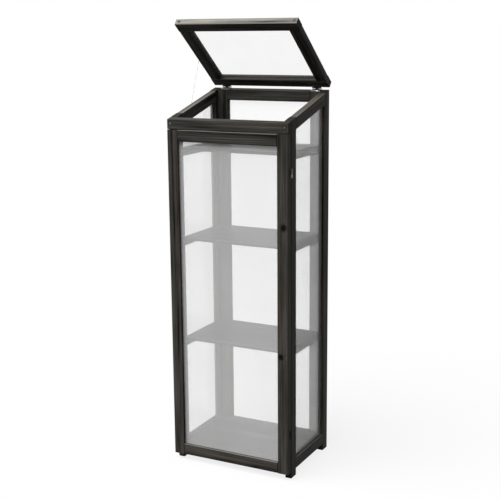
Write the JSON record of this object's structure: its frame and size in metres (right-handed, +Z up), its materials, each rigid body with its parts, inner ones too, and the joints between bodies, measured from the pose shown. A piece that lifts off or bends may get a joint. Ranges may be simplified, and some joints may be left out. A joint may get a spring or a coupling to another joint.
{
  "type": "mini greenhouse",
  "caption": "Tall narrow wooden growing cabinet with clear panes, plain shelves on cleats, an overlaid hinged door, and a sloping glazed lid propped open by a wire rod.",
  "frame": {"origin": "on the floor, under the middle of the bounding box of the object at rest", "axes": "+Z up, +X to the right and -Y towards the viewer when facing the door"},
  "size_m": [0.4112, 0.3128, 1.3745],
  "materials": {
    "stained_wood": "dark grey-brown stain, satin",
    "shelf_wood": "dark grey-brown stain, matte",
    "clear_pane": "clear, glossy",
    "zinc_steel": "zinc plated",
    "black_plastic": "matte"
  },
  "bodies": {
    "cabinet": {"back_bottom_rail": "stained_wood", "back_left_stile": "stained_wood", "back_pane": "clear_pane", "back_right_stile": "stained_wood", "back_top_rail": "stained_wood", "base_board": "shelf_wood", "door_catch": "black_plastic", "front_bottom_rail": "stained_wood", "front_top_rail": "stained_wood", "left_back_stile": "stained_wood", "left_base_cleat": "shelf_wood", "left_bottom_rail": "stained_wood", "left_front_stile": "stained_wood", "left_lid_hinge_frame_leaf": "zinc_steel", "left_lower_cleat": "shelf_wood", "left_middle_cleat": "shelf_wood", "left_pane": "clear_pane", "left_top_rail": "stained_wood", "left_upper_cleat": "shelf_wood", "lower_board": "shelf_wood", "lower_door_hinge_frame_leaf": "zinc_steel", "middle_board": "shelf_wood", "prop_base_pin": "zinc_steel", "right_back_stile": "stained_wood", "right_base_cleat": "shelf_wood", "right_bottom_rail": "stained_wood", "right_front_stile": "stained_wood", "right_lid_hinge_frame_leaf": "zinc_steel", "right_lower_cleat": "shelf_wood", "right_middle_cleat": "shelf_wood", "right_pane": "clear_pane", "right_top_rail": "stained_wood", "right_upper_cleat": "shelf_wood", "upper_board": "shelf_wood", "upper_door_hinge_frame_leaf": "zinc_steel"},
    "door": {"door_bottom_rail": "stained_wood", "door_free_stile": "stained_wood", "door_hinge_stile": "stained_wood", "door_pane": "clear_pane", "door_strike": "zinc_steel", "door_top_rail": "stained_wood", "lower_door_hinge_door_leaf": "zinc_steel", "upper_door_hinge_door_leaf": "zinc_steel"},
    "lid": {"left_lid_hinge_lid_leaf": "zinc_steel", "lid_front_rail": "stained_wood", "lid_left_rail": "stained_wood", "lid_pane": "clear_pane", "lid_rear_rail": "stained_wood", "lid_right_rail": "stained_wood", "prop_lid_pin": "zinc_steel", "right_lid_hinge_lid_leaf": "zinc_steel"},
    "prop": {"prop_rod": "zinc_steel"}
  },
  "joints": [
    {"name": "door_hinge", "type": "hinge", "parent": "cabinet", "child": "door", "pos_m": [0.20305, -0.13414, 0.5], "axis": [0, 0, 1], "range_deg": [0, 180]},
    {"name": "lid_hinge", "type": "hinge", "parent": "cabinet", "child": "lid", "pos_m": [0.00055, 0.14714, 1.16328], "axis": [-1, 0, 0], "range_deg": [-53.1, 0]},
    {"name": "prop_pivot", "type": "hinge", "parent": "cabinet", "child": "prop", "pos_m": [-0.19945, -0.01489, 1.10108], "axis": [1, 0, 0], "range_deg": [-53.1, 0]}
  ],
  "couplings": [
    {"joint": "prop_pivot", "follows": "lid_hinge", "ratio": 1}
  ]
}
